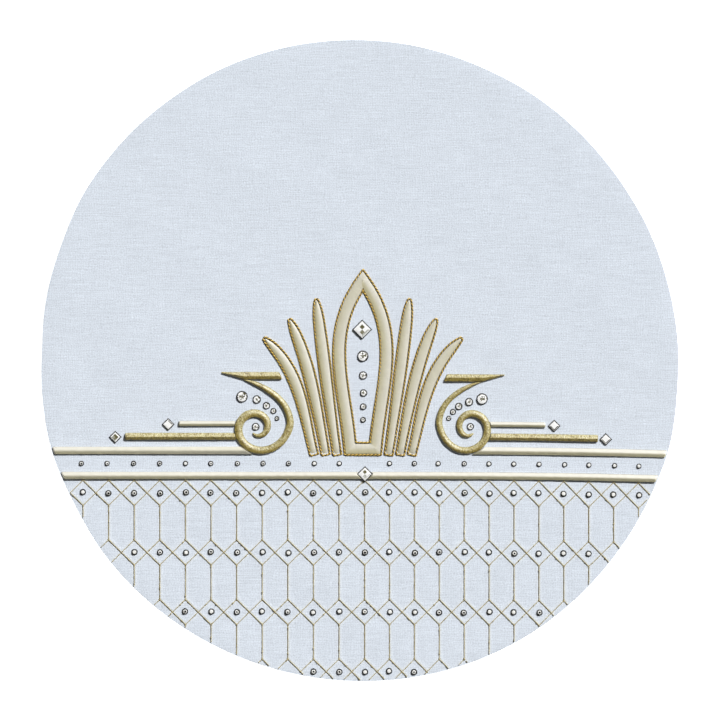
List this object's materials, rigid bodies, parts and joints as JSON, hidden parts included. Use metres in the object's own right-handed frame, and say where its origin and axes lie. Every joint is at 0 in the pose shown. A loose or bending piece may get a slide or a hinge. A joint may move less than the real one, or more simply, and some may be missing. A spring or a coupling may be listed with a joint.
{
  "type": "matzah cover",
  "caption": "Round padded cloth cover, quilted below, with satin bands, gold scrolls, a palmette of satin leaves edged in twisted cord, and set stones.",
  "frame": {"origin": "middle of the underside, where the cloth rests", "axes": "+Z out of the face, +Y towards the plain upper edge, +X to the right of the ornament as it is read from above"},
  "size_m": [0.4464, 0.4492, 0.0096],
  "materials": {
    "linen": "matte pale blue linen weave",
    "satin": "ivory satin with a soft sheen",
    "gold_foil": "crinkled gold foil cloth, dull metallic",
    "gold_cord": "twisted gold and brown thread",
    "stone": "clear cut glass with a foil back"
  },
  "bodies": {
    "root": {"centre_ring": "satin", "centre_ring_cord_inner": "gold_cord", "centre_ring_cord_outer": "gold_cord", "cover_cloth": "linen", "gold_bar_left": "gold_foil", "gold_bar_right": "gold_foil", "leaf_inner_left": "satin", "leaf_inner_left_cord": "gold_cord", "leaf_inner_right": "satin", "leaf_inner_right_cord": "gold_cord", "leaf_middle_left": "satin", "leaf_middle_left_cord": "gold_cord", "leaf_middle_right": "satin", "leaf_middle_right_cord": "gold_cord", "leaf_outer_left": "satin", "leaf_outer_left_cord": "gold_cord", "leaf_outer_right": "satin", "leaf_outer_right_cord": "gold_cord", "lower_band": "satin", "round_stone_centre_1": "stone", "round_stone_centre_2": "stone", "round_stone_centre_3": "stone", "round_stone_centre_4": "stone", "round_stone_centre_5": "stone", "round_stone_left_1": "stone", "round_stone_left_2": "stone", "round_stone_left_3": "stone", "round_stone_left_4": "stone", "round_stone_left_5": "stone", "round_stone_left_eye": "stone", "round_stone_right_1": "stone", "round_stone_right_2": "stone", "round_stone_right_3": "stone", "round_stone_right_4": "stone", "round_stone_right_5": "stone", "round_stone_right_eye": "stone", "scroll_left": "gold_foil", "scroll_right": "gold_foil", "square_stone_band": "stone", "square_stone_centre": "stone", "square_stone_left_inner": "stone", "square_stone_left_outer": "stone", "square_stone_right_inner": "stone", "square_stone_right_outer": "stone", "thin_bar_left": "satin", "thin_bar_right": "satin", "upper_band_left": "satin", "upper_band_right": "satin", "wedge_left": "gold_foil", "wedge_right": "gold_foil"}
  },
  "joints": []
}
